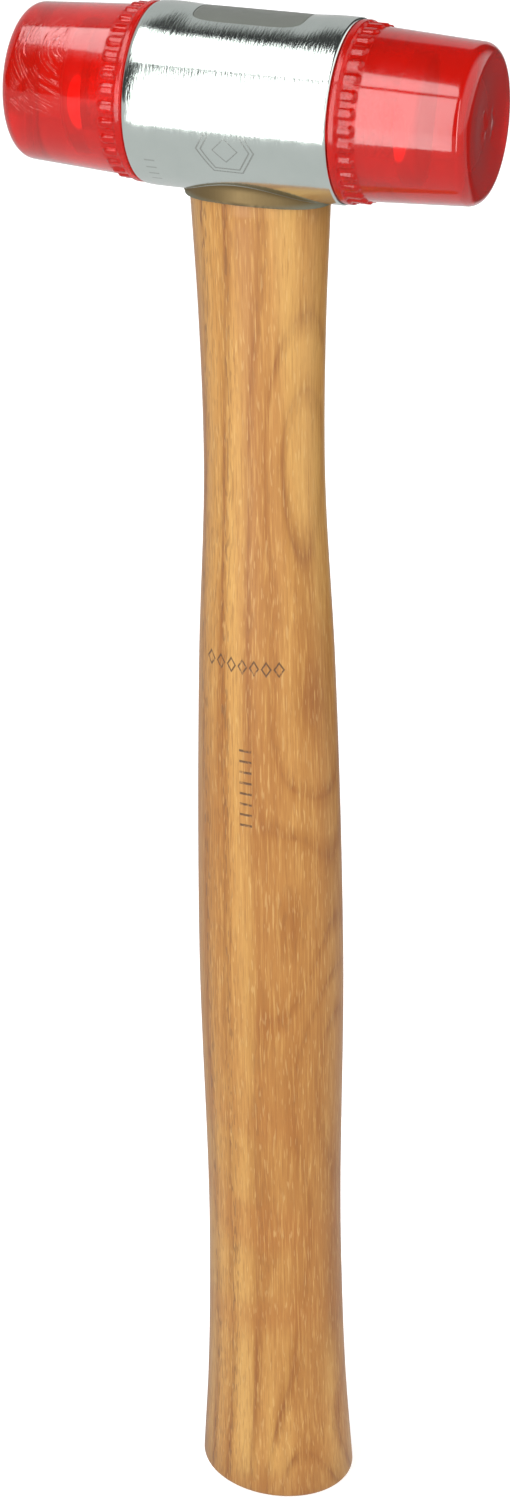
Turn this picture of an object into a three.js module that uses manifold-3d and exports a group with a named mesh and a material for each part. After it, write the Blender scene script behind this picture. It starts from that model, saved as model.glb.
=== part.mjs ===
// Plastic-faced hammer: a plated steel head with two screw-on plastic faces on a wooden handle.
// Millimetres. +Z runs up the handle, +X along the head, origin at the centre of the handle's butt.
import * as THREE from 'three';
import { mergeVertices } from 'three/addons/utils/BufferGeometryUtils.js';
import Module from 'manifold-3d';

const wasm = await Module();
wasm.setup();

// Driving dimensions
const axisHeight = 294;
const gap = 0.3;

// The shoulder of the grip, and the collar and mouth that hold it, sit this far to +X of the butt
const shoulderOffset = 0.75;

const body = { radius: 15, length: 35.1, edge: 0.5 };
const collar = { halfLength: 12.9, halfDepth: 10.2, top: -8, bottom: -20, rimHeight: -14.3, rimArch: 60 };
// Levels of the eye by height from the head axis; squareness 2 is an ellipse, more squares off its corners
const eye = {
  mouth: { z: -14, halfLength: 12.25, halfDepth: 9.8, squareness: 2, offset: shoulderOffset },
  throat: { z: -8, halfLength: 10.1, halfDepth: 5.6, squareness: 3, offset: shoulderOffset / 2 },
  waist: { z: 0, halfLength: 9.6, halfDepth: 4.2, squareness: 4.5, offset: 0 },
  crown: { z: 15, halfLength: 9.6, halfDepth: 4.6, squareness: 4.5, offset: 0 },
};
const stud = { radius: 6.85, innerEnd: 10.4, reach: 9, chamfer: 1 };
const face = {
  lipRadius: 14.75, lipWidth: 1.5,
  toothRadius: 14.4, toothEnd: 4.3, toothCount: 32, grooveWidth: 1.3, grooveDepth: 0.45,
  neckRadius: 13.9, neckStart: 4.9,
  rimRadius: 13, edge: 2.4, length: 22.9, flatRadius: 9, crown: 0.25,
  boreRadius: 7.2, boreDepth: 13, boreChamfer: 1,
};
const handle = {
  depthRatio: 0.797, buttEdge: 1.2,
  // height above the butt and half width of the grip: butt, waist, belly, upper belly, neck, shoulder
  outline: [
    [0, 16.1], [24, 14.6], [58, 13.6], [130, 14.05], [192, 12.55], [230, 10.8], [258, 11.15], [277, 11.95],
  ],
  shoulder: 277,
};
const seal = { thickness: 1.5 };
const woodWedge = { width: 16.8, depth: 16, top: 2.4, bottom: 0.7 };
const steelWedge = { width: 6.4, depth: 9, top: 1.5, bottom: 0.6 };

// How far a cutter runs past what it cuts
const overshoot = 1;

const crownHeight = body.radius;
const sealFloor = crownHeight - seal.thickness;
const tongueTop = sealFloor - gap;

// Materials
function material(color, roughness, metalness, extra = {}) {
  return new THREE.MeshStandardMaterial({ color, roughness, metalness, ...extra });
}
const zinc = material(0xb9c0bd, 0.25, 1);
const threadSteel = material(0x8f9496, 0.4, 1);
const redPlastic = material(0xc8201c, 0.15, 0, { transparent: true, opacity: 0.85 });
const hickory = material(0xc9935a, 0.4, 0);
const paleWood = material(0xb58a58, 0.7, 0);
const wedgeSteel = material(0x77797a, 0.5, 1);
const darkResin = material(0x67635a, 0.5, 0);

// Solids: closed three.js geometry into a manifold and back
function solid(geometry) {
  geometry.deleteAttribute('normal');
  geometry.deleteAttribute('uv');
  const merged = mergeVertices(geometry);
  const mesh = new wasm.Mesh({
    numProp: 3,
    vertProperties: new Float32Array(merged.attributes.position.array),
    triVerts: new Uint32Array(merged.index.array),
  });
  return new wasm.Manifold(mesh);
}

function geometryOf(manifold) {
  const mesh = manifold.getMesh();
  const geometry = new THREE.BufferGeometry();
  geometry.setAttribute('position', new THREE.BufferAttribute(mesh.vertProperties, 3));
  geometry.setIndex(new THREE.BufferAttribute(mesh.triVerts, 1));
  geometry.computeVertexNormals();
  return geometry;
}

// A solid turned about +Z from [radius, height] points
function turned(outline, segments = 64) {
  const points = outline.map(([radius, height]) => new THREE.Vector2(radius, height));
  return new THREE.LatheGeometry(points, segments).rotateX(Math.PI / 2);
}

// A solid turned about +X from [radius, x] points
function turnedAlongX(outline, segments = 64) {
  return turned(outline, segments).rotateY(Math.PI / 2);
}

// Points of a quarter round between two directions, as [radius, height]
function arc(centreRadius, centreHeight, radius, fromDegrees, toDegrees, steps = 4) {
  return Array.from({ length: steps + 1 }, (_, i) => {
    const angle = THREE.MathUtils.degToRad(fromDegrees + (toDegrees - fromDegrees) * i / steps);
    return [centreRadius + radius * Math.cos(angle), centreHeight + radius * Math.sin(angle)];
  });
}

// A solid through level ovals, each offset along X
function loft(stations, segments = 40) {
  const first = stations[0];
  const last = stations[stations.length - 1];
  const geometry = turned([[0, first.z], ...stations.map(({ z }) => [1, z]), [0, last.z]], segments);
  const position = geometry.attributes.position;
  const ringSize = stations.length + 2;
  for (let i = 0; i < position.count; i += 1) {
    const station = stations[i % ringSize - 1];
    if (station) {
      const x = position.getX(i);
      const y = position.getY(i);
      const power = 2 / station.squareness;
      position.setX(i, station.offset + station.halfLength * Math.sign(x) * Math.abs(x) ** power);
      position.setY(i, station.halfDepth * Math.sign(y) * Math.abs(y) ** power);
    }
  }
  return geometry;
}

// The tapered eye, or with a negative allowance the tongue that fills it
function eyeLoft(bottom, top, allowance = 0) {
  const levels = [
    { ...eye.mouth, z: bottom }, eye.mouth, eye.throat, eye.waist, { ...eye.crown, z: top },
  ];
  return loft(levels.map((level) => ({
    ...level,
    halfLength: level.halfLength + allowance,
    halfDepth: level.halfDepth + allowance,
  })));
}

// A wedge that hangs down from z = 0, tapering across Y, with its width along X
function wedge({ width, depth, top, bottom }, allowance = 0) {
  const outline = new THREE.Shape([
    new THREE.Vector2(-bottom / 2 - allowance, -depth - allowance),
    new THREE.Vector2(bottom / 2 + allowance, -depth - allowance),
    new THREE.Vector2(top / 2 + allowance, allowance),
    new THREE.Vector2(-top / 2 - allowance, allowance),
  ]);
  const length = width + 2 * allowance;
  const geometry = new THREE.ExtrudeGeometry(outline, { depth: length, bevelEnabled: false });
  geometry.translate(0, 0, -length / 2);
  const toX = new THREE.Matrix4().makeBasis(
    new THREE.Vector3(0, 1, 0), new THREE.Vector3(0, 0, 1), new THREE.Vector3(1, 0, 0),
  );
  return geometry.applyMatrix4(toX).translate(0, 0, tongueTop);
}

// Head: a round body with an oval collar below it, pierced by the eye and the two stud holes
function headBody() {
  const half = body.length / 2;
  const barrel = solid(turnedAlongX([
    [0, -half],
    ...arc(body.radius - body.edge, body.edge - half, body.edge, -90, 0),
    ...arc(body.radius - body.edge, half - body.edge, body.edge, 0, 90),
    [0, half],
  ]));

  const { halfLength, halfDepth, bottom, top } = collar;
  const skirt = solid(loft([bottom, top].map((z) => (
    { z, halfLength, halfDepth, squareness: 2, offset: shoulderOffset }
  ))));
  // The rim arches over a cylinder that lies along Y
  const rimCutter = solid(turned([
    [0, -body.radius], [collar.rimArch, -body.radius], [collar.rimArch, body.radius], [0, body.radius],
  ], 144).rotateX(Math.PI / 2).translate(shoulderOffset, 0, collar.rimHeight - collar.rimArch));
  const studHole = solid(turnedAlongX([
    [0, -half - overshoot], [stud.radius + gap, -half - overshoot],
    [stud.radius + gap, half + overshoot], [0, half + overshoot],
  ], 32));

  return barrel.add(skirt.subtract(rimCutter))
    .subtract(solid(eyeLoft(collar.bottom - overshoot, crownHeight + overshoot)))
    .subtract(studHole);
}

// Stud: a threaded steel pin, modelled at its thread's outer diameter
function threadedStud() {
  const { radius, innerEnd, reach, chamfer } = stud;
  const outerEnd = body.length / 2 + reach;
  return solid(turnedAlongX([
    [0, innerEnd], [radius - chamfer, innerEnd], [radius, innerEnd + chamfer],
    [radius, outerEnd - chamfer], [radius - chamfer, outerEnd], [0, outerEnd],
  ], 32));
}

// Face: a tapered plug with a lip and grip teeth at its base, and a blind threaded bore
function plasticFace() {
  const base = body.length / 2 + gap;
  const end = body.length / 2 + face.length;
  const start = body.length / 2;
  const outside = solid(turnedAlongX([
    [0, base],
    [face.lipRadius - gap, base],
    [face.lipRadius, base + gap],
    [face.lipRadius, start + face.lipWidth],
    [face.toothRadius, start + face.lipWidth + gap],
    [face.toothRadius, start + face.toothEnd],
    [face.neckRadius, start + face.neckStart],
    ...arc(face.rimRadius - face.edge, end - face.crown - face.edge, face.edge, 4, 80),
    [face.flatRadius, end],
    [0, end],
  ]));
  const bore = solid(turnedAlongX([
    [0, start - overshoot], [face.boreRadius, start - overshoot],
    [face.boreRadius, start + face.boreDepth - face.boreChamfer],
    [face.boreRadius - face.boreChamfer, start + face.boreDepth],
    [0, start + face.boreDepth],
  ], 32));

  const grooveLength = face.neckStart - face.lipWidth;
  let toothed = outside.subtract(bore);
  for (let tooth = 0; tooth < face.toothCount; tooth += 1) {
    const groove = new THREE.BoxGeometry(grooveLength, face.grooveWidth, 2 * face.grooveDepth);
    groove.translate(start + face.lipWidth + gap + grooveLength / 2, 0, face.toothRadius);
    groove.rotateX(2 * Math.PI * tooth / face.toothCount);
    toothed = toothed.subtract(solid(groove));
  }
  return toothed;
}

// Handle: an oval grip below the head and a slotted tongue that fills the eye
function woodenHandle() {
  const curve = new THREE.SplineCurve(handle.outline.map(([z, radius]) => new THREE.Vector2(radius, z)));
  const sides = curve.getPoints(16).slice(1).map(({ x, y }) => [x, y - axisHeight]);
  const butt = handle.outline[0][1] - handle.buttEdge;
  const slope = shoulderOffset / handle.shoulder;
  const lean = new THREE.Matrix4().makeShear(0, 0, 0, 0, slope, 0).setPosition(slope * axisHeight, 0, 0);
  const grip = solid(turned([
    [0, -axisHeight],
    ...arc(butt, handle.buttEdge - axisHeight, handle.buttEdge, -90, 0, 3),
    ...sides.filter(([, z]) => z > 2 * handle.buttEdge - axisHeight),
    [0, handle.shoulder - axisHeight],
  ], 40).scale(1, handle.depthRatio, 1).applyMatrix4(lean));
  const tongue = solid(eyeLoft(handle.shoulder - axisHeight - overshoot, tongueTop, -gap));
  return grip.add(tongue)
    .subtract(solid(wedge(woodWedge, gap)))
    .subtract(solid(steelWedgeGeometry(gap)));
}

// The steel wedge is driven across the wooden one
function steelWedgeGeometry(allowance = 0) {
  return wedge(steelWedge, allowance).rotateZ(Math.PI / 2);
}

// Seal: cast resin that closes the eye flush with the round crown of the head
function eyeSeal() {
  const half = body.length / 2;
  const plug = solid(eyeLoft(collar.bottom, crownHeight + overshoot, -gap));
  const below = new THREE.BoxGeometry(body.length, 2 * body.radius, 4 * body.radius);
  const barrel = solid(turnedAlongX([[0, -half], [body.radius, -half], [body.radius, half], [0, half]]));
  return plug.intersect(barrel).subtract(solid(below.translate(0, 0, sealFloor - 2 * body.radius)));
}

// Assembly
const hammer = new THREE.Group();
const head = new THREE.Group();
head.position.set(0, 0, axisHeight);
hammer.add(head);

function piece(name, manifold, look) {
  const mesh = new THREE.Mesh(geometryOf(manifold), look);
  mesh.name = name;
  head.add(mesh);
  return mesh;
}

piece('head_body', headBody(), zinc);
piece('stud_right', threadedStud(), threadSteel);
piece('stud_left', threadedStud(), threadSteel).rotation.z = Math.PI;
piece('face_right', plasticFace(), redPlastic);
piece('face_left', plasticFace(), redPlastic).rotation.z = Math.PI;
piece('handle', woodenHandle(), hickory);
piece('wooden_wedge', solid(wedge(woodWedge)).subtract(solid(steelWedgeGeometry(gap))), paleWood);
piece('steel_wedge', solid(steelWedgeGeometry()), wedgeSteel);
piece('eye_seal', eyeSeal(), darkResin);

export default hammer;
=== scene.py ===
"""Plastic-faced hammer: the looks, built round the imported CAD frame.

In the row frame X runs along the head, -Y is the front and Z is up. Shapes are worked out in
millimetres and scaled by MM as they become meshes. Materials and the studio are in metres.
"""
import math

import bpy
import numpy as np
from mathutils import Matrix, Vector


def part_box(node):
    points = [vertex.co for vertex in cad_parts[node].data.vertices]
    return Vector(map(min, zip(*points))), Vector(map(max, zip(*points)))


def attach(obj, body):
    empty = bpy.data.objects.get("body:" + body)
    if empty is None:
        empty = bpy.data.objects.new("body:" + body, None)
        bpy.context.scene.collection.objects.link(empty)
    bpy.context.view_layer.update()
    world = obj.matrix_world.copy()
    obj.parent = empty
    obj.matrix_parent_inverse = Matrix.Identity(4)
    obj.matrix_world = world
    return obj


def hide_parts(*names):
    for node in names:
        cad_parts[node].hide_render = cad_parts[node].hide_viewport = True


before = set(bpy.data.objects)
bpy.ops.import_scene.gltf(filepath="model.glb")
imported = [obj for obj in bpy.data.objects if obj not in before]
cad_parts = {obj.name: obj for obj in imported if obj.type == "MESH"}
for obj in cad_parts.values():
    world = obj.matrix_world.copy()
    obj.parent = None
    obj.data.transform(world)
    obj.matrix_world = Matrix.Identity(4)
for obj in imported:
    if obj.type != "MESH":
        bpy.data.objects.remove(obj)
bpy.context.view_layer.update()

MM = 0.001

# ---------------------------------------------------------------- sizes from the frame, mm
_, body_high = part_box("head_body")
right_low, right_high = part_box("face_right")
stud_low, stud_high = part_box("stud_right")
seal_low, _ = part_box("eye_seal")

AXIS_Z = (right_low.z + right_high.z) / 2 / MM
BODY_RADIUS = body_high.y / MM
BODY_HALF = body_high.x / MM
FACE_END = right_high.x / MM - BODY_HALF
STUD_RADIUS = stud_high.y / MM
STUD_START = stud_low.x / MM
STUD_END = stud_high.x / MM
SEAL_FLOOR = seal_low.z / MM - AXIS_Z

# ---------------------------------------------------------------- sizes of the fine shapes, mm
# The barrel. Its rounded edges end a hair inside its side. Its left end is worn, and its crown is
# linished hollow over a length and a lean.
BODY_EDGE, BODY_STEP, EDGE_INSET = 0.45, 0.2, 0.0001
END_RADII = (3.0, 7.0, 10.0, 12.5)
WORN_END, WEAR = 3.0, 0.17
CROWN_DIP = 0.28
CROWN_DIP_LENGTH = (8.5, 14.0)
CROWN_DIP_DEGREES = (12, 34)

# The collar, an oval skirt whose lower rim arches. Its skin is looked for between two radii, in steps.
SHOULDER_OFFSET = 0.75
COLLAR_HALF_LENGTH, COLLAR_HALF_DEPTH = 12.9, 10.2
COLLAR_BLEND, COLLAR_DEGREES = 0.65, 50
COLLAR_SEARCH = (13.0, 17.5, 226)
RIM_HEIGHT, RIM_ARCH, RIM_EDGE = -14.3, 60.0, 0.3

EYE_LEVELS = [
    # height from the head axis, half length, half depth, squareness, offset along X
    (-20.0, 12.05, 9.65, 2.0, SHOULDER_OFFSET),
    (-14.0, 12.05, 9.65, 2.0, SHOULDER_OFFSET),
    (-8.0, 10.1, 5.6, 3.0, SHOULDER_OFFSET / 2),
    (0.0, 9.6, 4.2, 4.5, 0.0),
    (16.0, 9.6, 4.6, 4.5, 0.0),
]
EYE_FIT, STUD_FIT = 0.08, 0.15
WEDGE_FIT = Vector((0.2, 0.2, 0.6))
SEAL_GAP, SEAL_EDGE_DROP = 0.3, 0.05

# The threads.
THREAD_PITCH, THREAD_DEPTH, THREAD_CHAMFER = 2.0, 1.0, 0.2
THREAD_SLOPE, THREAD_ROOT = 2.6, 0.12

# The plastic faces. Distances run outwards from the end of the barrel. The flat end lies END_SINK
# inside the CAD's, which leaves room for the gate mark.
BORE_RADIUS, BORE_DEPTH, BORE_EDGE = 7.2, 13.0, 0.8
BASE_GAP = 0.1
LIP_RADIUS, LIP_WIDTH, LIP_EDGE, LIP_FALL = 14.75, 1.5, 0.35, 0.3
TEETH_START, TEETH_STEP = 0.6, 0.09
TOOTH_RADIUS, TOOTH_END, TOOTH_HALF_WIDTH, TOOTH_COUNT = 14.4, 4.3, 0.8, 32
TOOTH_FLANK = (-0.36, 0.28)
NECK_RADIUS, NECK_START = 13.9, 4.9
RIM_RADIUS, FACE_EDGE = 13.0, 2.4
FACE_EDGE_TURN = math.radians(86)
END_SINK = 0.25
FACE_PLANE = FACE_END - END_SINK
CONE_END = FACE_PLANE - FACE_EDGE

# The middle of a face's end: a shallow dish, and the gate mark with its lumps.
DISH_DEPTH, DISH_RADII = 0.35, (3.0, 9.5)
GATE_HEIGHT, GATE_RADIUS = 0.25, 1.6
LUMP_COUNT, LUMP_REACH, LUMP_HEIGHT = 26, 3.2, 0.14
LUMP_WIDTHS, LUMP_RADII, LUMP_LIMITS = (0.5, 1.5), (2.6, 4.4), (-0.5, 0.55)

# The handle.
BUTT_EDGE, DEPTH_RATIO = 1.2, 0.797
SHOULDER, SHOULDER_STEP = 277.0, 0.4
HANDLE_OUTLINE = [
    # height above the butt, half width of the grip
    (0, 16.1), (24, 14.6), (58, 13.6), (130, 14.05), (192, 12.55), (230, 10.8), (258, 11.15), (277, 11.95),
]


# ---------------------------------------------------------------- mesh tools
def smoothstep(low, high, value):
    t = np.clip((value - low) / (high - low), 0, 1)
    return t * t * (3 - 2 * t)


def smooth_max(a, b, width):
    overlap = np.clip(0.5 + 0.5 * (a - b) / width, 0, 1)
    return b + (a - b) * overlap + width * overlap * (1 - overlap)


def circle(count):
    """The angles of points spread evenly round a full turn."""
    return np.linspace(0, 2 * math.pi, count, endpoint=False)


def ring(x, y, z):
    """A ring of points; a coordinate that is one number holds for the whole ring."""
    return np.stack(np.broadcast_arrays(x, y, z), 1)


def head_ring(x, radius, angles):
    """A ring round the head axis, with angles that run from the back up over the crown."""
    return ring(x, radius * np.cos(angles), AXIS_Z + radius * np.sin(angles))


def rings_to_mesh(rings, side=1):
    """Closed skin over rings, with a fan at each end; side -1 turns it half round, to the left."""
    count = len(rings[0])
    vertices = np.concatenate(rings)
    faces = []
    for level in range(len(rings) - 1):
        low, high = level * count, (level + 1) * count
        for i in range(count):
            j = (i + 1) % count
            faces.append((low + i, low + j, high + j, high + i))
    for start, first in ((0, True), ((len(rings) - 1) * count, False)):
        centre = len(vertices)
        vertices = np.vstack([vertices, vertices[start:start + count].mean(0)])
        for i in range(count):
            j = (i + 1) % count
            face = (centre, start + j, start + i) if first else (centre, start + i, start + j)
            faces.append(face)
    vertices[:, :2] *= side
    return vertices, faces


def piece(name, vertices, faces, look=None, sharp_degrees=35):
    """A mesh object from millimetre vertices, smooth except where faces meet sharply."""
    mesh = bpy.data.meshes.new(name)
    mesh.from_pydata([tuple(v) for v in vertices * MM], [], faces)
    mesh.validate()
    mesh.update()
    mesh.materials.append(look)
    obj = bpy.data.objects.new(name, mesh)
    bpy.context.scene.collection.objects.link(obj)
    shade(obj, sharp_degrees)
    return obj


def shade(obj, sharp_degrees):
    obj.data.shade_smooth()
    obj.data.set_sharp_from_angle(angle=math.radians(sharp_degrees))


def cut(obj, tool):
    """Cuts tool out of obj and removes tool."""
    modifier = obj.modifiers.new("cut", "BOOLEAN")
    modifier.operation = "DIFFERENCE"
    modifier.solver = "EXACT"
    modifier.object = tool
    graph = bpy.context.evaluated_depsgraph_get()
    mesh = bpy.data.meshes.new_from_object(obj.evaluated_get(graph), depsgraph=graph)
    obj.modifiers.remove(modifier)
    obj.data = mesh
    bpy.data.objects.remove(tool)


def oval(half_length, half_depth, squareness, offset, angles):
    """Points of a level oval; squareness 2 is an ellipse, more squares off its corners."""
    power = 2 / squareness
    x = offset + half_length * np.sign(np.cos(angles)) * np.abs(np.cos(angles)) ** power
    y = half_depth * np.sign(np.sin(angles)) * np.abs(np.sin(angles)) ** power
    return x, y


def eye_section(height, allowance):
    """Half length, half depth, squareness and offset of the eye at a height from the head axis."""
    heights, lengths, depths, squareness, offsets = np.array(EYE_LEVELS).T
    return (
        np.interp(height, heights, lengths) + allowance,
        np.interp(height, heights, depths) + allowance,
        np.interp(height, heights, squareness),
        np.interp(height, heights, offsets),
    )


# ---------------------------------------------------------------- material tools
class Nodes:
    """Short calls that add nodes to a tree; a value is a number, a colour or another node's socket."""

    def __init__(self, tree):
        self.tree = tree

    def node(self, kind, inputs=None, **settings):
        node = self.tree.nodes.new(kind)
        for key, value in settings.items():
            setattr(node, key, value)
        for key, value in (inputs or {}).items():
            self.set(node.inputs[key], value)
        return node

    def set(self, socket, value):
        if isinstance(value, bpy.types.NodeSocket):
            self.tree.links.new(value, socket)
        else:
            socket.default_value = value

    def math(self, operation, a, b=0.0, c=0.0):
        return self.node("ShaderNodeMath", {0: a, 1: b, 2: c}, operation=operation).outputs[0]

    def add(self, a, b):
        return self.math("ADD", a, b)

    def subtract(self, a, b):
        return self.math("SUBTRACT", a, b)

    def multiply(self, a, b):
        return self.math("MULTIPLY", a, b)

    def divide(self, a, b):
        return self.math("DIVIDE", a, b)

    def absolute(self, a):
        return self.math("ABSOLUTE", a)

    def line(self, value, slope, start):
        """start + slope * value."""
        return self.math("MULTIPLY_ADD", value, slope, start)

    def length(self, a, b):
        """The length of a vector from its two parts."""
        return self.math("SQRT", self.add(self.multiply(a, a), self.multiply(b, b)))

    def range(self, value, low, high, to_low=0.0, to_high=1.0):
        """A smooth step from to_low, where value is low, to to_high, where it is high."""
        inputs = {"Value": value, "From Min": low, "From Max": high, "To Min": to_low, "To Max": to_high}
        return self.node("ShaderNodeMapRange", inputs, interpolation_type="SMOOTHSTEP").outputs["Result"]

    def fall(self, value, start, end):
        """A smooth step from 1 down to 0."""
        return self.range(value, start, end, 1.0, 0.0)

    def split(self, vector):
        return self.node("ShaderNodeSeparateXYZ", {0: vector}).outputs

    def joined(self, x, y, z):
        return self.node("ShaderNodeCombineXYZ", {0: x, 1: y, 2: z}).outputs[0]

    def noise(self, vector, scale=1.0, detail=2.0, roughness=0.5):
        inputs = {"Vector": vector, "Scale": scale, "Detail": detail, "Roughness": roughness}
        return self.node("ShaderNodeTexNoise", inputs).outputs["Fac"]

    def flat_noise(self, u, v, scales, layer=0.0, **settings):
        """Noise over two coordinates, with a scale for each; another layer is another pattern."""
        place = self.joined(self.multiply(u, scales[0]), self.multiply(v, scales[1]), layer)
        return self.noise(place, **settings)

    def ramp(self, factor, stops):
        node = self.node("ShaderNodeValToRGB", {"Fac": factor})
        elements = node.color_ramp.elements
        while len(elements) < len(stops):
            elements.new(0.5)
        for element, (position, colour) in zip(elements, stops):
            element.position = position
            element.color = (*colour, 1)
        return node.outputs["Color"]

    def mix(self, factor, a, b):
        node = self.node("ShaderNodeMix", data_type="RGBA")
        self.set(node.inputs["Factor"], factor)
        self.set(node.inputs["A"], a if isinstance(a, bpy.types.NodeSocket) else (*a, 1))
        self.set(node.inputs["B"], b if isinstance(b, bpy.types.NodeSocket) else (*b, 1))
        return next(s for s in node.outputs if s.type == "RGBA")

    def tinted(self, colour, tints):
        """Mixes in tints in turn: a pattern, where it starts, where it is full, how much, its colour."""
        for pattern, start, full, amount, tint in tints:
            colour = self.mix(self.range(pattern, start, full, 0.0, amount), colour, tint)
        return colour

    def bump(self, height, distance, strength, normal=None):
        inputs = {"Height": height, "Distance": distance, "Strength": strength}
        if normal is not None:
            inputs["Normal"] = normal
        return self.node("ShaderNodeBump", inputs).outputs["Normal"]


class Look(Nodes):
    """A material made with one Principled shader."""

    def __init__(self, name):
        self.material = bpy.data.materials.new(name)
        self.material.use_nodes = True
        super().__init__(self.material.node_tree)
        self.shader = self.tree.nodes["Principled BSDF"]
        self.output = self.tree.nodes["Material Output"]
        self.place = self.node("ShaderNodeTexCoord").outputs["Object"]

    def surface(self, **inputs):
        for key, value in inputs.items():
            self.set(self.shader.inputs[key.replace("_", " ")], value)

    def grain(self, scales, **settings):
        """Noise over the object's own coordinates, with a scale for each axis."""
        place = self.node("ShaderNodeVectorMath", {0: self.place, 1: scales}, operation="MULTIPLY")
        return self.noise(place.outputs[0], **settings)

    def show_by_ray(self, ray, shader, otherwise):
        """Shows shader to one kind of ray, such as Is Camera Ray, and the other shader to the rest."""
        is_ray = self.node("ShaderNodeLightPath").outputs[ray]
        mixed = self.node("ShaderNodeMixShader", {0: is_ray, 1: otherwise, 2: shader}).outputs[0]
        self.set(self.output.inputs["Surface"], mixed)


def head_coordinates(look):
    """Along the head axis, back from it, up from it, and the arc length round it from the front."""
    x, y, z = look.split(look.place)
    height = look.subtract(z, AXIS_Z * MM)
    angle = look.math("ARCTAN2", height, look.multiply(y, -1.0))
    return x, y, height, look.multiply(angle, BODY_RADIUS * MM)


# ---------------------------------------------------------------- zinc plate and steel
EMBLEM_X, EMBLEM_ARC, EMBLEM_RADIUS = 0.0003, -0.0037, 0.0043
EMBLEM_INNER, EMBLEM_LOZENGE = 0.84, 0.5
EMBLEM_LINE = (0.00007, 0.00018)
EMBLEM_STRENGTH = 0.55

CODE_START, CODE_PITCH, CODE_COUNT = (-0.0098, -0.0134), 0.0017, 4
CODE_STRENGTH = 0.3


def zinc_look():
    """Bright zinc plate brushed round the barrel, with etched marks and a dull collar whose brown skirt is
    a painted reflection of the wooden handle.
    """
    dark_plate, pale_plate, etched = (0.6, 0.67, 0.635), (0.72, 0.78, 0.745), (0.22, 0.22, 0.2)
    collar_rim, collar_skirt_painted_reflection = (0.31, 0.31, 0.23), (0.225, 0.16, 0.075)
    look = Look("zinc_plate")
    x, back, height, arc = head_coordinates(look)
    brush = look.flat_noise(x, arc, (3000.0, 360.0), detail=3.0, roughness=0.6)
    wave = look.flat_noise(x, arc, (130.0, 130.0), layer=3.0, detail=1.0)
    cloud = look.noise(look.place, scale=160.0, detail=3.0)
    code = stamp_row(look, arc, x, CODE_START, CODE_COUNT, bars=True, pitch=CODE_PITCH)
    mark = look.math("MAXIMUM", emblem_mask(look, x, arc), look.multiply(code, CODE_STRENGTH))
    from_axis = look.length(back, height)
    collar = look.range(from_axis, (BODY_RADIUS + 0.004) * MM, (BODY_RADIUS + 0.06) * MM)
    from_rim = look.range(height, (RIM_HEIGHT - 0.9) * MM, (RIM_HEIGHT + 0.6) * MM)
    colour = look.mix(mark, look.mix(cloud, dark_plate, pale_plate), etched)
    # the collar's skirt is painted brown, a painted reflection of the wooden handle
    colour = look.mix(collar, colour, look.mix(from_rim, collar_rim, collar_skirt_painted_reflection))
    rough = look.add(look.range(brush, 0.3, 0.7, 0.1, 0.17), look.multiply(mark, 0.25))
    rough = look.line(collar, 0.36, rough)
    normal = look.bump(wave, 0.00006, 0.5)
    normal = look.bump(brush, 0.00003, 0.85, normal)
    look.surface(Base_Color=colour, Metallic=1.0, Roughness=rough, Normal=normal)
    return look.material


def emblem_mask(look, x, arc):
    """Fine etched outlines of two nested hexagons round a lozenge."""
    across = look.absolute(look.subtract(x, EMBLEM_X))
    up = look.absolute(look.subtract(arc, EMBLEM_ARC))
    slant = look.add(look.multiply(across, 0.866), look.multiply(up, 0.5))
    hexagon = look.math("MAXIMUM", slant, up)
    lozenge = look.add(across, up)
    lines = []
    for distance, size in ((hexagon, 1.0), (hexagon, EMBLEM_INNER), (lozenge, EMBLEM_LOZENGE)):
        offset = look.absolute(look.subtract(distance, EMBLEM_RADIUS * size))
        lines.append(look.fall(offset, *EMBLEM_LINE))
    mask = look.math("MAXIMUM", look.math("MAXIMUM", lines[0], lines[1]), lines[2])
    return look.multiply(mask, EMBLEM_STRENGTH)


def thread_look():
    """Plain grey steel, for the studs and the steel wedge."""
    look = Look("thread_steel")
    grain = look.noise(look.place, scale=900.0, detail=3.0)
    colour = look.mix(grain, (0.5, 0.5, 0.47), (0.68, 0.67, 0.62))
    look.surface(Base_Color=colour, Metallic=1.0, Roughness=look.range(grain, 0.3, 0.7, 0.22, 0.38),
                 Normal=look.bump(grain, 0.00003, 0.4))
    return look.material


# ---------------------------------------------------------------- red plastic and resin
# The painted glow in the bore's blind end: a bright patch painted on and made to glow, standing in for
# light gathered there, mm.
PAINTED_GLOW_REACH, PAINTED_GLOW_DROP = 10.0, 0.3
PAINTED_GLOW_HALF_LENGTH, PAINTED_GLOW_HALF_HEIGHT = 1.6, 3.7

# The scuffs: the point that they fan round, and where their patch fades in and out, m.
SCUFF_X, SCUFF_ARC = -0.026, 0.0125
SCUFF_LEFT, SCUFF_RIGHT = (-0.0385, -0.036), (-0.031, -0.0285)
SCUFF_BOTTOM, SCUFF_TOP = (-0.002, 0.002), (0.016, 0.019)


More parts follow.
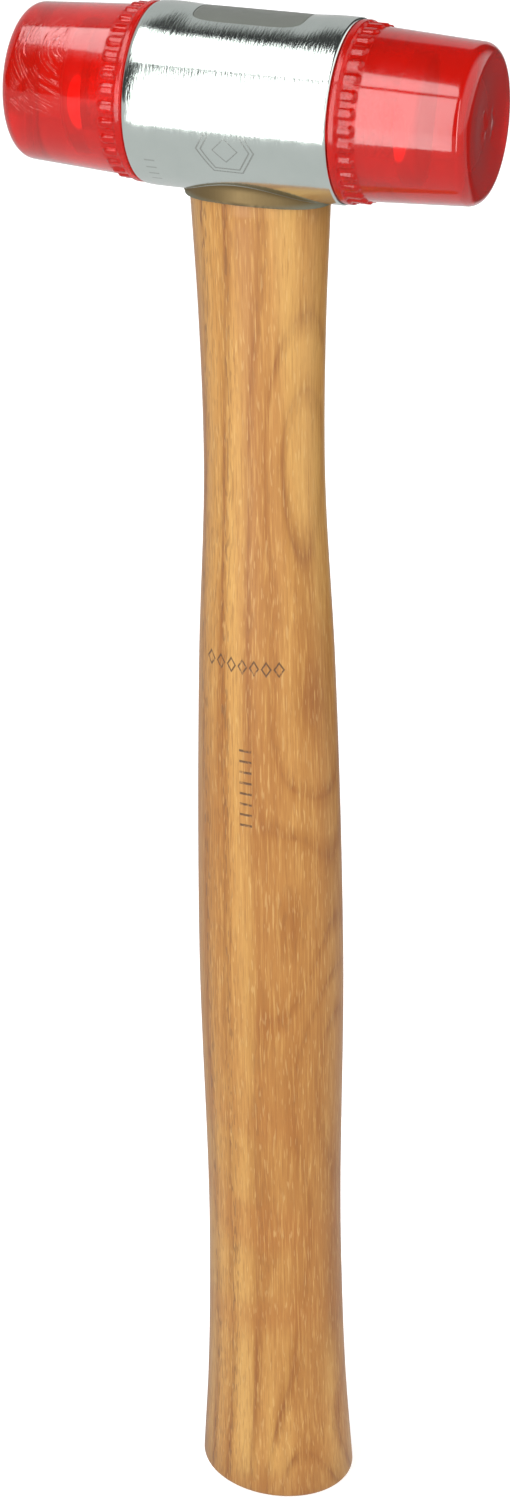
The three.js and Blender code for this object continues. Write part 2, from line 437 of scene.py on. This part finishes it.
def red_look():
    """Clear plastic dyed red right through, glossy but for its teeth, with scuffs on the left face."""
    red, scuffed = (0.84, 0.017, 0.006), (0.95, 0.3, 0.24)
    shadow_tint, dye = (0.85, 0.08, 0.14, 1), (0.975, 0.0, 0.12, 1)
    look = Look("red_plastic")
    x, _, _, arc = head_coordinates(look)
    scuffs = scuff_mask(look, x, arc)
    toothed = look.fall(look.absolute(x), (BODY_HALF + TOOTH_END) * MM, (BODY_HALF + NECK_START) * MM)
    haze = look.noise(look.place, scale=350.0, detail=3.0)
    normal = look.bump(look.noise(look.place, scale=75.0), 0.0004, 0.06)
    normal = look.bump(scuffs, 0.00006, 0.9, normal)
    colour = look.mix(look.multiply(scuffs, 0.6), red, scuffed)
    look.surface(Base_Color=colour, IOR=1.46, Roughness=look.range(haze, 0.3, 0.8, 0.12, 0.2))
    look.surface(Transmission_Weight=0.7, Specular_IOR_Level=0.1, Normal=normal)
    coat_rough = look.line(scuffs, 0.15, look.line(toothed, 0.3, 0.03))
    look.surface(Coat_Weight=look.line(toothed, -0.72, 0.9), Coat_IOR=1.41,
                 Coat_Roughness=coat_rough, Coat_Normal=normal)
    tinted_shadow = look.node("ShaderNodeBsdfTransparent", {"Color": shadow_tint}).outputs[0]
    look.show_by_ray("Is Shadow Ray", tinted_shadow, look.shader.outputs[0])
    volume = look.node("ShaderNodeVolumeAbsorption", {"Color": dye, "Density": 520.0}).outputs[0]
    look.set(look.output.inputs["Volume"], volume)
    return look.material


def scuff_mask(look, x, arc):
    """Fine arcs that fan round a point near the crown of the left face, where it has rubbed."""
    across = look.subtract(x, SCUFF_X)
    up = look.subtract(arc, SCUFF_ARC)
    sway = look.noise(look.place, scale=220.0, detail=1.0)
    far = look.line(sway, 0.0012, look.length(across, up))
    turn = look.math("ARCTAN2", up, across)
    lines = look.range(look.flat_noise(far, turn, (3800.0, 1.8), detail=1.0), 0.56, 0.63)
    patches = look.range(look.flat_noise(x, arc, (190.0, 110.0), layer=5.0, detail=1.0), 0.36, 0.5)
    inside = look.range(x, *SCUFF_LEFT)
    inside = look.multiply(inside, look.fall(x, *SCUFF_RIGHT))
    inside = look.multiply(inside, look.range(arc, *SCUFF_BOTTOM))
    inside = look.multiply(inside, look.fall(arc, *SCUFF_TOP))
    return look.multiply(look.multiply(lines, patches), inside)


def bore_glow_look():
    """The blind end of the bore: darker red with a bright oval patch, a painted highlight that glows,
    standing in for light gathered there.
    """
    plain, painted_glow_dark, painted_glow_pale = (0.5, 0.012, 0.016), (1.0, 0.1, 0.16), (1.0, 0.16, 0.24)
    look = Look("red_plastic_bore_glow")
    x, _, height, _ = head_coordinates(look)
    grain = look.noise(look.place, scale=700.0, detail=2.0)
    reach = look.subtract(look.absolute(x), (BODY_HALF + PAINTED_GLOW_REACH) * MM)
    along = look.divide(reach, PAINTED_GLOW_HALF_LENGTH * MM)
    up = look.divide(look.add(height, PAINTED_GLOW_DROP * MM), PAINTED_GLOW_HALF_HEIGHT * MM)
    from_middle = look.add(look.multiply(along, along), look.multiply(up, up))
    # painted highlight: a bright oval patch where light would gather in the bore
    painted_glow = look.fall(from_middle, 0.7, 1.2)
    colour = look.mix(painted_glow, plain, look.mix(grain, painted_glow_dark, painted_glow_pale))
    # the painted patch also glows by emission, though nothing in the bore is a lamp
    look.surface(Base_Color=colour, Roughness=0.35, Emission_Color=(1.0, 0.04, 0.12, 1))
    look.surface(Emission_Strength=look.multiply(painted_glow, 0.6))
    return look.material


def resin_look():
    """Dark resin, ground matt."""
    look = Look("dark_resin")
    haze = look.noise(look.place, scale=500.0, detail=3.0)
    colour = look.mix(haze, (0.14, 0.15, 0.13), (0.2, 0.215, 0.19))
    look.surface(Base_Color=colour, Roughness=look.range(haze, 0.3, 0.7, 0.32, 0.45),
                 Normal=look.bump(haze, 0.00003, 0.3))
    return look.material


# ---------------------------------------------------------------- wood and its stamped marks
PITH_X, PITH_Y, RING_WIDTH = -0.06, 0.02, 0.0054

STAMP_PITCH = 0.0022
LEVEL_ROW_X, LEVEL_ROW_DROP, LEVEL_ROW_COUNT = -0.0004, 99.8, 7
UPRIGHT_ROW_X, UPRIGHT_ROW_DROP, UPRIGHT_ROW_COUNT = 0.0, 124.4, 8


def wood_look(name, marks=True):
    """Straight-grained hickory: growth rings about a far pith, pores, fibre and a satin lacquer, with
    painted shade on the flanks.
    """
    look = Look(name)
    x, y, z = look.split(look.place)
    radius = look.length(look.add(look.add(x, -PITH_X), ring_shift(look, x)), look.subtract(y, PITH_Y))
    growth = look.math("FRACT", look.divide(radius, RING_WIDTH))
    colour = look.ramp(growth, [
        (0.0, (0.27, 0.085, 0.014)), (0.1, (0.35, 0.135, 0.023)), (0.3, (0.56, 0.275, 0.069)),
        (0.72, (0.53, 0.255, 0.062)), (0.92, (0.41, 0.175, 0.033)), (1.0, (0.27, 0.085, 0.014)),
    ])
    streak = look.grain((420.0, 420.0, 7.0), detail=3.0)
    tone = look.grain((130.0, 130.0, 5.0), detail=1.0)
    colour = look.tinted(colour, [
        (streak, 0.38, 0.7, 0.55, (0.62, 0.335, 0.085)),
        (streak, 0.46, 0.25, 0.6, (0.37, 0.145, 0.025)),
        (tone, 0.42, 0.66, 0.7, (0.38, 0.145, 0.025)),
        (tone, 0.48, 0.3, 0.5, (0.68, 0.4, 0.12)),
    ])
    # cross bands, stronger towards the butt
    band = look.range(look.grain((28.0, 28.0, 50.0), detail=1.0), 0.5, 0.64)
    band = look.multiply(band, look.range(z, 0.13, 0.08, 0.1, 0.5))
    colour = look.mix(band, colour, (0.42, 0.155, 0.03))
    fibre = look.grain((2600.0, 2600.0, 90.0), detail=3.0, roughness=0.6)
    fleck = look.grain((3600.0, 3600.0, 330.0), detail=0.0)
    colour = look.tinted(colour, [
        (fibre, 0.5, 0.75, 0.55, (0.32, 0.12, 0.021)),
        (fibre, 0.5, 0.28, 0.45, (0.7, 0.4, 0.12)),
        (fleck, 0.66, 0.76, 0.3, (0.76, 0.5, 0.2)),
    ])
    # painted shade darkens both flanks, the left more than the right; the foot of the grip is darker too
    flank = look.split(look.node("ShaderNodeNewGeometry").outputs["Normal"])[0]
    left_flank_shade = look.range(flank, -0.35, -0.97)
    painted_flank_shade_and_dark_foot = look.add(look.multiply(left_flank_shade, 0.5), look.range(flank, 0.75, 1.0, 0.0, 0.16))
    painted_flank_shade_and_dark_foot = look.add(painted_flank_shade_and_dark_foot, look.range(z, 0.012, 0.0, 0.0, 0.3))
    # mixes in the painted shade on the flanks and the darker foot
    colour = look.mix(painted_flank_shade_and_dark_foot, colour, (0.25, 0.1, 0.021))
    # pores, most of them in the early part of a ring and on the left
    early = look.range(growth, 0.0, 0.5, 1.0, 0.35)
    porous = look.range(flank, 0.1, -0.5, 0.25, 1.0)
    pores = look.range(look.grain((3400.0, 3400.0, 360.0), detail=0.0), 0.57, 0.66)
    pores = look.multiply(pores, look.multiply(early, porous))
    colour = look.mix(look.multiply(pores, 0.75), colour, (0.2, 0.085, 0.025))
    sunk = pores
    if marks:
        stamp = stamp_mask(look, x, y, z)
        colour = look.mix(look.multiply(stamp, 0.88), colour, (0.085, 0.038, 0.015))
        sunk = look.add(pores, stamp)
    height = look.subtract(look.multiply(fibre, 0.25), sunk)
    look.surface(Base_Color=colour, Roughness=look.range(fibre, 0.3, 0.7, 0.34, 0.46),
                 Normal=look.bump(height, 0.00008, 0.35))
    look.surface(Coat_Weight=0.15, Coat_Roughness=0.3)
    return look.material


def ring_shift(look, x):
    """How far the rings stray: a slow sway, a fine wobble and, towards the right, wide arches."""
    sway = look.grain((7.0, 7.0, 5.0), detail=1.0)
    wobble = look.grain((60.0, 60.0, 7.0), detail=2.0)
    arch = look.subtract(look.grain((14.0, 14.0, 10.0), detail=1.0), 0.5)
    arch = look.multiply(arch, look.range(x, -0.001, 0.011, 0.0, 0.085))
    shift = look.add(look.multiply(sway, 0.016), look.multiply(wobble, 0.0022))
    return look.add(shift, arch)


def stamp_mask(look, x, y, z):
    """Plain stamps on the front of the grip: a level row of lozenges, an upright row of short bars."""
    level_start = (LEVEL_ROW_X, (AXIS_Z - LEVEL_ROW_DROP) * MM)
    upright_start = ((AXIS_Z - UPRIGHT_ROW_DROP) * MM, UPRIGHT_ROW_X)
    level = stamp_row(look, x, z, level_start, LEVEL_ROW_COUNT, bars=False)
    upright = stamp_row(look, z, x, upright_start, UPRIGHT_ROW_COUNT, bars=True)
    front = look.fall(y, -0.004, -0.003)
    worn = look.range(look.noise(look.place, scale=1100.0), 0.3, 0.5, 0.35, 1.0)
    return look.multiply(look.math("MAXIMUM", level, upright), look.multiply(front, worn))


def stamp_row(look, along, across, start, count, bars, pitch=STAMP_PITCH):
    """A row of equal marks, centred on start, repeated along one direction."""
    position = look.divide(look.subtract(along, start[0]), pitch)
    inside = look.math("LESS_THAN", look.absolute(position), count / 2)
    cell = look.subtract(look.math("FRACT", look.add(position, count % 2 * 0.5)), 0.5)
    cell = look.absolute(cell)
    side = look.absolute(look.divide(look.subtract(across, start[1]), pitch))
    if bars:
        stroke = look.multiply(look.fall(cell, 0.07, 0.15), look.fall(side, 0.5, 0.58))
    else:
        outline = look.subtract(look.line(side, 0.6, cell), 0.36)
        stroke = look.fall(look.absolute(outline), 0.04, 0.11)
    return look.multiply(stroke, inside)


# ---------------------------------------------------------------- head
def crown_radius(x, lean):
    """Barrel radius at x and at an angle from the crown, where linishing has left a slight hollow."""
    along = 1 - smoothstep(*CROWN_DIP_LENGTH, np.abs(x))
    around = 1 - smoothstep(*np.radians(CROWN_DIP_DEGREES), np.abs(lean))
    return BODY_RADIUS - CROWN_DIP * along * around


def collar_radius(x, lean_down):
    """Where a line from the head axis leaves the collar, for an angle from straight down."""
    r = np.linspace(*COLLAR_SEARCH)[None, :]
    lean_down = lean_down.reshape(-1, 1)
    y, z = r * np.sin(lean_down), -r * np.cos(lean_down)
    x = x - SHOULDER_OFFSET
    from_middle = np.sqrt((x / COLLAR_HALF_LENGTH) ** 2 + (y / COLLAR_HALF_DEPTH) ** 2)
    past_side = (from_middle - 1) * COLLAR_HALF_DEPTH
    past_rim = RIM_HEIGHT - (RIM_ARCH - math.sqrt(RIM_ARCH ** 2 - x ** 2)) - z
    past = smooth_max(past_side, past_rim, RIM_EDGE)
    outside = past > 0
    outside[:, -1] = True
    first = outside.argmax(1)
    before = np.maximum(first - 1, 0)
    rows = np.arange(len(first))
    low, high = past[rows, before], past[rows, first]
    part = np.clip(-low / np.where(high - low == 0, 1, high - low), 0, 1)
    radius = r[0, before] + part * (r[0, 1] - r[0, 0])
    return np.where(first > 0, radius, r[0, 0])


def end_stations(side):
    """Stations (x, radius) of one end of the barrel and its rounded edge, from the middle outwards."""
    stations = [(side * BODY_HALF, r) for r in END_RADII]
    edge_radius = BODY_RADIUS - (WEAR if side < 0 else 0) - EDGE_INSET
    for a in np.linspace(0, math.pi / 2, 7):
        x = side * (BODY_HALF - BODY_EDGE * (1 - math.cos(a)))
        stations.append((x, edge_radius - BODY_EDGE * (1 - math.sin(a))))
    return stations


def head_body():
    """The barrel with its collar, and the eye and the stud holes cut through it."""
    from_below = circle(420)
    lean_up = from_below - math.pi
    lean_down = (from_below + math.pi) % (2 * math.pi) - math.pi
    near_collar = np.abs(lean_down) < math.radians(COLLAR_DEGREES)

    def round_ring(x, radius):
        return ring(x, radius * np.sin(from_below), AXIS_Z - radius * np.cos(from_below))

    def barrel_ring(x):
        worn = WEAR * np.clip((WORN_END - BODY_HALF - x) / WORN_END, 0, 1) ** 2
        radius = crown_radius(x, lean_up) - worn
        collar = collar_radius(x, lean_down[near_collar])
        radius[near_collar] = smooth_max(radius[near_collar], collar, COLLAR_BLEND)
        return round_ring(x, radius)

    stretch = np.arange(BODY_EDGE - BODY_HALF + 0.1, BODY_HALF - BODY_EDGE, BODY_STEP)
    rings = [round_ring(x, radius) for x, radius in end_stations(-1)]
    rings += [barrel_ring(x) for x in stretch]
    rings += [round_ring(x, radius) for x, radius in reversed(end_stations(1))]
    head = piece("head_shell", *rings_to_mesh(rings), zinc_look())
    cut(head, eye_tool())
    for side in (-1, 1):
        cut(head, stud_tool(side))
    shade(head, 35)
    return head


def eye_tool():
    """The eye's own shape, which cuts it out of the head."""
    angles = circle(160)
    rings = []
    for height in np.linspace(EYE_LEVELS[0][0], EYE_LEVELS[-1][0], 37):
        x, y = oval(*eye_section(height, 0), angles)
        rings.append(ring(x, y, AXIS_Z + height))
    return piece("eye_tool", *rings_to_mesh(rings))


def stud_tool(side):
    """A plain rod that cuts one stud's hole, from deeper than the stud to past the barrel's end."""
    angles = circle(96)
    rings = [head_ring(x, STUD_RADIUS + STUD_FIT, angles) for x in (STUD_START - 3, BODY_HALF + 2)]
    return piece("stud_tool", *rings_to_mesh(rings, side))


def threaded_stud(name, side):
    """A stud with a real helical thread, run out over a chamfer at each end."""
    angles = circle(72)
    rings = []
    for x in np.arange(STUD_START, STUD_END + 0.001, THREAD_PITCH / 14):
        phase = (x / THREAD_PITCH - angles / (2 * math.pi)) % 1
        tooth = np.clip(np.abs(phase - 0.5) * THREAD_SLOPE - THREAD_ROOT, 0, 1)
        radius = STUD_RADIUS - THREAD_DEPTH * (1 - tooth)
        run_out = min(x - STUD_START, STUD_END - x)
        radius = np.minimum(radius, STUD_RADIUS - THREAD_DEPTH - THREAD_CHAMFER + run_out)
        rings.append(head_ring(x, radius, angles))
    return piece(name, *rings_to_mesh(rings, side), STEEL, sharp_degrees=60)


# ---------------------------------------------------------------- plastic faces
def bore_and_base():
    """Stations (distance, radius) from the bottom of the bore, along it and over the base to the lip."""
    stations = [(BORE_DEPTH, r) for r in np.linspace(0.6, BORE_RADIUS - BORE_EDGE, 6)]
    stations += [(BORE_DEPTH - BORE_EDGE, BORE_RADIUS)]
    stations += [(s, BORE_RADIUS) for s in np.linspace(BORE_DEPTH - 1.5, 0.9, 16)]
    stations += [(BASE_GAP, BORE_RADIUS + BORE_EDGE)]
    stations += [(BASE_GAP, r) for r in np.linspace(9, LIP_RADIUS - 0.4, 6)]
    for a in np.linspace(0.2, math.pi / 2, 6):
        drop = LIP_EDGE * (1 - math.sin(a))
        stations.append((BASE_GAP + LIP_EDGE * (1 - math.cos(a)), LIP_RADIUS - drop))
    return stations


def cone_radius(s):
    return NECK_RADIUS + (RIM_RADIUS - NECK_RADIUS) * (s - TOOTH_END) / (CONE_END - TOOTH_END)


def toothed_radius(s, angles):
    """Radii round the lip and the grip teeth, which end in round tips."""
    pitch = 2 * math.pi * TOOTH_RADIUS / TOOTH_COUNT
    across = ((angles / (2 * math.pi) * TOOTH_COUNT) % 1 - 0.5) * pitch
    past_tip = max(s - (TOOTH_END - TOOTH_HALF_WIDTH), 0)
    tooth = 1 - smoothstep(*TOOTH_FLANK, np.hypot(past_tip, across) - TOOTH_HALF_WIDTH)
    lip = 1 - smoothstep(LIP_WIDTH - LIP_FALL, LIP_WIDTH + LIP_FALL, s)
    radius = cone_radius(s) + (TOOTH_RADIUS - cone_radius(s)) * tooth
    return radius + (LIP_RADIUS - radius) * lip


def rounded_edge():
    """Stations from the end of the cone round to the flat end."""
    turns = np.linspace(0.1, 1, 14) * FACE_EDGE_TURN
    return [
        (CONE_END + FACE_EDGE * math.sin(a), RIM_RADIUS - FACE_EDGE * (1 - math.cos(a)))
        for a in turns
    ]


def end_distance(r, angles, lumps):
    """How far out the end lies at a radius: flat, dished in the middle, with the gate mark's lumps."""
    dish = DISH_DEPTH * (1 - smoothstep(*DISH_RADII, r))
    y, z = r * np.cos(angles), r * np.sin(angles)
    rough = sum(h * np.exp(-((y - a) ** 2 + (z - b) ** 2) / (w * w)) for a, b, w, h in lumps)
    gate = GATE_HEIGHT * math.exp(-(r / GATE_RADIUS) ** 2)
    mark = np.clip(rough * (1 - smoothstep(*LUMP_RADII, r)) + gate, *LUMP_LIMITS)
    return FACE_PLANE - dish + mark


def plastic_face(name, side, seed):
    """A face in one skin: bore, base, lip and teeth, cone, rounded edge and end."""
    angles = circle(TOOTH_COUNT * 14)
    rng = np.random.default_rng(seed)
    lumps = [
        (rng.uniform(-LUMP_REACH, LUMP_REACH), rng.uniform(-LUMP_REACH, LUMP_REACH),
         rng.uniform(*LUMP_WIDTHS), rng.uniform(-LUMP_HEIGHT, LUMP_HEIGHT))
        for _ in range(LUMP_COUNT)
    ]
    stations = bore_and_base()
    toothed = np.arange(TEETH_START, NECK_START + 0.6, TEETH_STEP)
    stations += [(s, toothed_radius(s, angles)) for s in toothed]
    stations += [(s, cone_radius(s)) for s in np.linspace(NECK_START + 0.8, CONE_END, 24)]
    stations += rounded_edge()
    flat_radius = RIM_RADIUS - FACE_EDGE * (1 - math.cos(FACE_EDGE_TURN))
    stations += [(end_distance(r, angles, lumps), r) for r in np.linspace(flat_radius - 0.4, 0.35, 34)]
    rings = [head_ring(BODY_HALF + distance, radius, angles) for distance, radius in stations]
    face = piece(name, *rings_to_mesh(rings, side), RED, sharp_degrees=50)
    paint_bore_end_glow(face)
    return face


def paint_bore_end_glow(face):
    """Gives what lies in the bore beyond the stud the material with the painted glow."""
    face.data.materials.append(BORE_GLOW)
    near = 0.01
    for polygon in face.data.polygons:
        x, y, z = polygon.center / MM
        inside = math.hypot(y, z - AXIS_Z) < BORE_RADIUS + near
        if inside and STUD_END + 0.2 < abs(x) < BODY_HALF + BORE_DEPTH + near:
            polygon.material_index = 1


# ---------------------------------------------------------------- handle and what fills the eye
def outline_radius(height):
    """Half width of the grip: a smooth curve through the outline's points."""
    z, r = np.array(HANDLE_OUTLINE, float).T
    slope = np.gradient(r, z)
    i = np.clip(np.searchsorted(z, height) - 1, 0, len(z) - 2)
    step = z[i + 1] - z[i]
    t = (height - z[i]) / step
    return ((2 * t ** 3 - 3 * t ** 2 + 1) * r[i] + (t ** 3 - 2 * t ** 2 + t) * step * slope[i]
            + (3 * t ** 2 - 2 * t ** 3) * r[i + 1] + (t ** 3 - t ** 2) * step * slope[i + 1])


def wooden_handle():
    """The grip up to the shoulder, then the tongue up through the eye, slotted for the wedges."""
    angles = circle(200)
    rings = []

    def grip_ring(height, half_length, half_depth):
        offset = SHOULDER_OFFSET * height / SHOULDER
        rings.append(ring(*oval(half_length, half_depth, 2, offset, angles), height))

    def tongue_ring(height, part=1):
        length, depth, squareness, offset = eye_section(height, -EYE_FIT)
        section = oval(length * part, depth * part, squareness, offset, angles)
        rings.append(ring(*section, AXIS_Z + height))

    flat = outline_radius(0) - BUTT_EDGE
    for part in (0.15, 0.4, 0.7, 0.9):
        grip_ring(0, flat * part, flat * part * DEPTH_RATIO)
    for a in np.linspace(0, math.pi / 2, 8):
        inset = BUTT_EDGE * (1 - math.sin(a))
        width = outline_radius(BUTT_EDGE)
        grip_ring(BUTT_EDGE * (1 - math.cos(a)), width - inset, width * DEPTH_RATIO - inset)
    for height in np.linspace(BUTT_EDGE + 1, SHOULDER, 150):
        width = outline_radius(height)
        grip_ring(height, width, width * DEPTH_RATIO)
    top = SEAL_FLOOR - SEAL_GAP
    for height in np.linspace(SHOULDER - AXIS_Z + SHOULDER_STEP, top, 60):
        tongue_ring(height)
    for part in (0.8, 0.5, 0.2):
        tongue_ring(top, part)
    handle = piece("handle_wood", *rings_to_mesh(rings), wood_look("handle_wood"), sharp_degrees=40)
    for node in ("wooden_wedge", "steel_wedge"):
        cut(handle, wedge_tool(node))
    shade(handle, 40)
    return handle


def wedge_tool(node):
    """A copy of a wedge, grown by its fit, that cuts its slot."""
    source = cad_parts[node]
    tool = bpy.data.objects.new(node + "_tool", source.data.copy())
    bpy.context.scene.collection.objects.link(tool)
    low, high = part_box(node)
    centre, size = (low + high) / 2, high - low
    grow = [1 + fit * MM / length for fit, length in zip(WEDGE_FIT, size)]
    scale = Matrix.Diagonal((*grow, 1))
    tool.data.transform(Matrix.Translation(centre) @ scale @ Matrix.Translation(-centre))
    return tool


def eye_seal():
    """Resin that fills the top of the eye, ground to the crown."""
    angles = circle(160)

    def level(height, part):
        length, depth, squareness, offset = eye_section(height, -EYE_FIT)
        return oval(length * part, depth * part, squareness, offset, angles)

    rings = [ring(*level(SEAL_FLOOR, part), AXIS_Z + SEAL_FLOOR) for part in (0.2, 0.6, 0.9, 1.0)]
    for part in (1.0, 0.985, 0.95, 0.88, 0.75, 0.6, 0.45, 0.3, 0.15):
        x, y = level(BODY_RADIUS, part)
        drop = SEAL_EDGE_DROP if part == 1.0 else 0
        radius = crown_radius(x, np.arcsin(y / BODY_RADIUS)) - drop
        rings.append(ring(x, y, AXIS_Z + np.sqrt(radius ** 2 - y ** 2)))
    return piece("seal_resin", *rings_to_mesh(rings), resin_look(), sharp_degrees=50)


# ---------------------------------------------------------------- build
STEEL = thread_look()
RED = red_look()
BORE_GLOW = bore_glow_look()


def install(obj, node, body):
    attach(obj, body)
    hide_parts(node)


install(head_body(), "head_body", "hammer")
install(threaded_stud("stud_thread_right", 1), "stud_right", "hammer")
install(threaded_stud("stud_thread_left", -1), "stud_left", "hammer")
install(plastic_face("face_plastic_right", 1, seed=11), "face_right", "right_face")
install(plastic_face("face_plastic_left", -1, seed=12), "face_left", "left_face")
install(wooden_handle(), "handle", "hammer")
install(eye_seal(), "eye_seal", "hammer")

wedge_looks = {"wooden_wedge": wood_look("wedge_wood", marks=False), "steel_wedge": STEEL}
for wedge_node, wedge_look in wedge_looks.items():
    wedge_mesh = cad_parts[wedge_node].data
    wedge_mesh.materials.clear()
    wedge_mesh.materials.append(wedge_look)


# ---------------------------------------------------------------- floor, studio light, camera
FLOOR_HALF = 30.0
FLOOR_GLOW, FLOOR_FAR_GLOW = 0.65, 0.08

HEAD_CENTRE = Vector((0, 0, AXIS_Z * MM))
PANEL_RADIANCE = 5.6
PANEL_DISTANCE = 0.73
PANEL_TOP_DEGREES = 49.5
FRONT_PANEL_X, FRONT_PANEL_WIDTH = -0.2175, 0.285
RIGHT_STRIP_X, RIGHT_STRIP_WIDTH = 0.3, 0.1

# The sky. The softbox's edges lie on a plane one unit up, and each fades from one number to the other.
BOX_LEFT, BOX_RIGHT = (-0.62, -0.6), (-0.395, -0.375)
BOX_FRONT, BOX_BACK = (-0.75, -0.73), (0.43, 0.45)
BOX_RIGHT_SLANT, BOX_BACK_TILT = 2.17, -2.0
BOX_HORIZON = (0.02, 0.03)
TILT_CENTRE = -0.381
WALL_START, WALL_FULL, WALL_TILT = math.radians(118), math.radians(122), math.radians(-130)
WALL_STRENGTH, RIGHT_STRENGTH, ROOM_STRENGTH = 0.5, 1.3, 0.05

CAMERA_DISTANCE, CAMERA_LENS = 0.5025, 72.11
CAMERA_AZIMUTH, CAMERA_ELEVATION = math.radians(21.2), math.radians(17.55)
CAMERA_YAW, CAMERA_PITCH, CAMERA_ROLL = math.radians(-0.214), math.radians(-12.17), math.radians(-1.05)


def floor():
    """A pale floor; to all but the camera it is a plain glow, weaker far off on the right."""
    half = FLOOR_HALF
    corners = [(-half, -half, 0), (half, -half, 0), (half, half, 0), (-half, half, 0)]
    mesh = bpy.data.meshes.new("floor")
    mesh.from_pydata(corners, [], [(0, 1, 2, 3)])
    obj = bpy.data.objects.new("floor", mesh)
    bpy.context.scene.collection.objects.link(obj)
    look = Look("floor")
    look.surface(Base_Color=(0.75, 0.75, 0.75, 1), Roughness=0.9)
    look.surface(Emission_Color=(1, 1, 1, 1), Emission_Strength=0.62)
    x, y, _ = look.split(look.place)
    far_right = look.multiply(look.range(x, 0.02, 0.15), look.range(y, 0.12, 0.3))
    strength = look.range(far_right, 0.0, 1.0, FLOOR_GLOW, FLOOR_FAR_GLOW)
    glow = look.node("ShaderNodeEmission", {"Strength": strength}).outputs[0]
    look.show_by_ray("Is Camera Ray", look.shader.outputs[0], glow)
    mesh.materials.append(look.material)


def panel(name, x, width, height):
    """A soft upright panel in front, which lights and reflects but isn't seen by the camera itself."""
    light = bpy.data.lights.new(name, "AREA")
    light.shape = "RECTANGLE"
    light.size, light.size_y = width, height
    light.energy = PANEL_RADIANCE * math.pi * width * height
    obj = bpy.data.objects.new(name, light)
    bpy.context.scene.collection.objects.link(obj)
    obj.location = (x, -PANEL_DISTANCE, height / 2)
    obj.rotation_euler = Vector((0, PANEL_DISTANCE, 0)).to_track_quat("-Z", "Y").to_euler()
    obj.visible_camera = False


def sky():
    """White to the camera; other rays see a softbox overhead, a pale back wall and a bright right."""
    world = bpy.data.worlds.new("studio")
    bpy.context.scene.world = world
    world.use_nodes = True
    nodes = Nodes(world.node_tree)
    x, y, z = nodes.split(nodes.node("ShaderNodeTexCoord").outputs["Generated"])
    height = nodes.math("MAXIMUM", z, 0.001)
    u = nodes.divide(x, height)
    v = nodes.divide(y, height)
    aside = nodes.add(x, -TILT_CENTRE)
    box = nodes.fall(nodes.add(u, nodes.divide(v, BOX_RIGHT_SLANT)), *BOX_RIGHT)
    box = nodes.multiply(box, nodes.range(v, *BOX_FRONT))
    box = nodes.multiply(box, nodes.fall(nodes.line(aside, BOX_BACK_TILT, v), *BOX_BACK))
    box = nodes.multiply(box, nodes.range(u, *BOX_LEFT))
    box = nodes.multiply(box, nodes.range(z, *BOX_HORIZON))
    lean = nodes.math("ARCTAN2", z, nodes.multiply(y, -1.0))
    wall = nodes.range(nodes.line(aside, WALL_TILT, lean), WALL_START, WALL_FULL)
    right = nodes.range(x, 0.25, 0.6, 0.0, RIGHT_STRENGTH)
    light = nodes.add(nodes.multiply(box, PANEL_RADIANCE), nodes.multiply(wall, WALL_STRENGTH))
    light = nodes.add(nodes.add(light, right), ROOM_STRENGTH)
    seen = nodes.node("ShaderNodeLightPath").outputs["Is Camera Ray"]
    strength = nodes.add(nodes.multiply(light, nodes.subtract(1.0, seen)), seen)
    background = world.node_tree.nodes["Background"]
    nodes.set(background.inputs["Strength"], strength)
    nodes.set(background.inputs["Color"], (1, 1, 1, 1))


def turned(a, b, angle):
    """Two unit vectors at right angles, both turned by an angle in their plane, from a towards b."""
    return a * math.cos(angle) + b * math.sin(angle), b * math.cos(angle) - a * math.sin(angle)


def camera():
    """Above and to the right of the head, looking down the handle, as a product shot is taken."""
    level = math.cos(CAMERA_ELEVATION)
    sideways, forwards = math.sin(CAMERA_AZIMUTH), math.cos(CAMERA_AZIMUTH)
    back = Vector((sideways * level, -forwards * level, math.sin(CAMERA_ELEVATION)))
    forward = -back
    right = forward.cross(Vector((0, 0, 1))).normalized()
    up = right.cross(forward)
    forward, right = turned(forward, right, CAMERA_YAW)
    forward, up = turned(forward, up, CAMERA_PITCH)
    right, up = turned(right, up, CAMERA_ROLL)
    data = bpy.data.cameras.new("camera")
    data.sensor_width = 36
    data.lens = CAMERA_LENS
    data.clip_start = 0.01
    obj = bpy.data.objects.new("camera", data)
    bpy.context.scene.collection.objects.link(obj)
    place = Matrix.Translation(HEAD_CENTRE + back * CAMERA_DISTANCE)
    obj.matrix_world = place @ Matrix((right, up, -forward)).transposed().to_4x4()
    bpy.context.scene.camera = obj


floor()
panel_height = HEAD_CENTRE.z + PANEL_DISTANCE * math.tan(math.radians(PANEL_TOP_DEGREES))
panel("front_panel", FRONT_PANEL_X, FRONT_PANEL_WIDTH, panel_height)
panel("right_strip", RIGHT_STRIP_X, RIGHT_STRIP_WIDTH, panel_height)
sky()
camera()
bpy.context.scene.view_settings.view_transform = "Standard"
